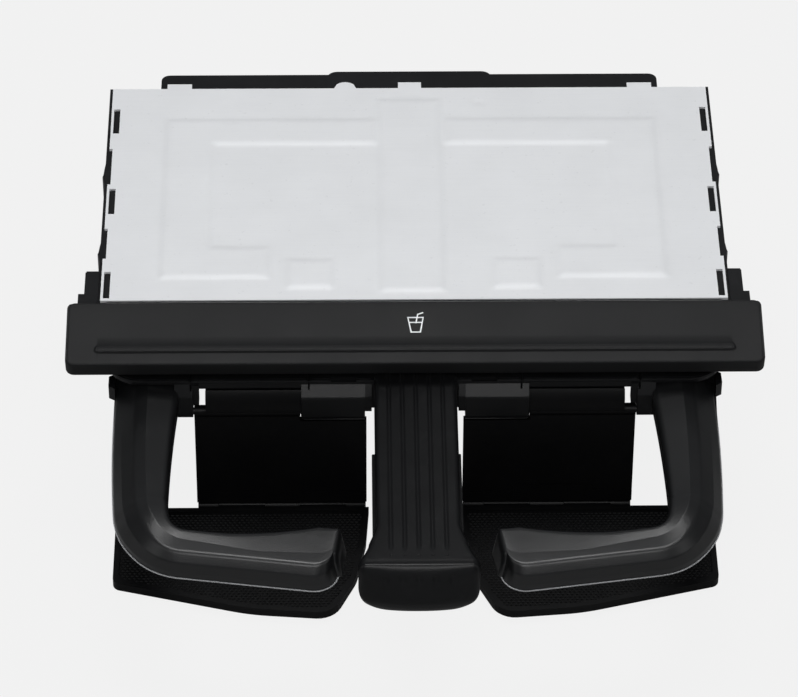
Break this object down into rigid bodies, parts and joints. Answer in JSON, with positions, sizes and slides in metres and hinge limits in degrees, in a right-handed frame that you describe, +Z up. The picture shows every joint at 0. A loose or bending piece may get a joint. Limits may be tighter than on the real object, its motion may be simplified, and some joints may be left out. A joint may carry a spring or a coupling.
{
  "type": "car cup holder",
  "caption": "Pull-out cup holder for a dashboard slot: steel-topped case, hinged flap, ribbed centre bridge, swing arms and drop-down trays",
  "frame": {"origin": "on the underside of the case, at the middle of its mouth (under the front edge of the steel cover)", "axes": "+X to the right seen from the cabin, +Y to the rear of the slot, +Z up"},
  "size_m": [0.1926, 0.2027, 0.0586],
  "materials": {
    "case_plastic": "satin",
    "flap_plastic": "fine textured",
    "frame_plastic": "satin",
    "bridge_plastic": "satin",
    "arm_plastic": "soft satin",
    "panel_plastic": "satin",
    "tray_plastic": "grained",
    "cover_steel": "plated",
    "spring_steel": "satin",
    "nylon": "natural",
    "print_white": "printed"
  },
  "bodies": {
    "cassette": {"base_shell": "case_plastic", "top_cover": "cover_steel", "side_clips": "spring_steel", "rack": "nylon", "flap_pins": "spring_steel", "flap_springs": "spring_steel", "latch_body": "case_plastic", "spring_tail": "spring_steel"},
    "flap": {"flap": "flap_plastic", "cup_symbol": "print_white"},
    "latch": {"latch_plunger": "nylon"},
    "drawer": {"carriage": "frame_plastic", "bridge_cover": "bridge_plastic", "bridge_beam": "frame_plastic", "arm_pins": "spring_steel", "arm_spring_left": "spring_steel", "arm_spring_right": "spring_steel", "panel_rod_left": "spring_steel", "panel_rod_right": "spring_steel", "damper_body": "frame_plastic"},
    "damper_gear": {"damper_pinion": "nylon"},
    "spring_roll": {"spring_drum": "nylon", "eject_spring": "spring_steel"},
    "arm_left": {"arm_left": "arm_plastic", "arm_base_left": "frame_plastic"},
    "arm_right": {"arm_right": "arm_plastic", "arm_base_right": "frame_plastic"},
    "panel_left": {"panel_left": "panel_plastic", "tray_rod_left": "spring_steel"},
    "panel_right": {"panel_right": "panel_plastic", "tray_rod_right": "spring_steel"},
    "tray_left": {"tray_left": "tray_plastic"},
    "tray_right": {"tray_right": "tray_plastic"}
  },
  "joints": [
    {"name": "drawer_slide", "type": "slide", "parent": "cassette", "child": "drawer", "axis": [0, -1, 0], "range_m": [-0.084, 0], "stiffness_N_per_m": 10, "springref_m": 0.2},
    {"name": "arm_left_hinge", "type": "hinge", "parent": "drawer", "child": "arm_left", "pos_m": [-0.075, -0.008, 0.008], "axis": [0, 0, -1], "range_deg": [0, 22], "stiffness_Nm_per_rad": 0.02, "springref_deg": -34.38},
    {"name": "arm_right_hinge", "type": "hinge", "parent": "drawer", "child": "arm_right", "pos_m": [0.075, -0.008, 0.008], "axis": [0, 0, 1], "range_deg": [-1.5, 20.5], "stiffness_Nm_per_rad": 0.02},
    {"name": "flap_hinge", "type": "hinge", "parent": "cassette", "child": "flap", "pos_m": [0, -0.007, 0.014], "axis": [1, 0, 0], "range_deg": [0, 4], "stiffness_Nm_per_rad": 0.02, "springref_deg": -28.65},
    {"name": "latch_push", "type": "slide", "parent": "cassette", "child": "latch", "axis": [0, 1, 0], "range_m": [0, 0.003], "stiffness_N_per_m": 300, "springref_m": -0.003},
    {"name": "panel_left_hinge", "type": "hinge", "parent": "drawer", "child": "panel_left", "pos_m": [-0.04, -0.0228, 0.0031], "axis": [-1, 0, 0], "range_deg": [0, 86.1]},
    {"name": "panel_right_hinge", "type": "hinge", "parent": "drawer", "child": "panel_right", "pos_m": [0.04, -0.0228, 0.0031], "axis": [-1, 0, 0], "range_deg": [0, 86.1]},
    {"name": "tray_left_hinge", "type": "hinge", "parent": "panel_left", "child": "tray_left", "pos_m": [-0.04, -0.02519, -0.03112], "axis": [1, 0, 0], "range_deg": [0, 86.1]},
    {"name": "tray_right_hinge", "type": "hinge", "parent": "panel_right", "child": "tray_right", "pos_m": [0.04, -0.02519, -0.03112], "axis": [1, 0, 0], "range_deg": [0, 86.1]},
    {"name": "damper_spin", "type": "hinge", "parent": "drawer", "child": "damper_gear", "pos_m": [-0.0772, 0.0015, 0.0177], "axis": [0, 0, -1], "range_deg": [-803, 1]},
    {"name": "spring_spin", "type": "hinge", "parent": "drawer", "child": "spring_roll", "pos_m": [0.0775, 0, 0.018], "axis": [0, 0, 1], "range_deg": [-803, 1]}
  ],
  "couplings": [
    {"joint": "panel_left_hinge", "follows": "drawer_slide", "rad_per_m": -17.869},
    {"joint": "panel_right_hinge", "follows": "drawer_slide", "rad_per_m": -17.869},
    {"joint": "tray_left_hinge", "follows": "drawer_slide", "rad_per_m": -17.869},
    {"joint": "tray_right_hinge", "follows": "drawer_slide", "rad_per_m": -17.869},
    {"joint": "damper_spin", "follows": "drawer_slide", "rad_per_m": 166.67},
    {"joint": "spring_spin", "follows": "drawer_slide", "rad_per_m": 166.67}
  ]
}
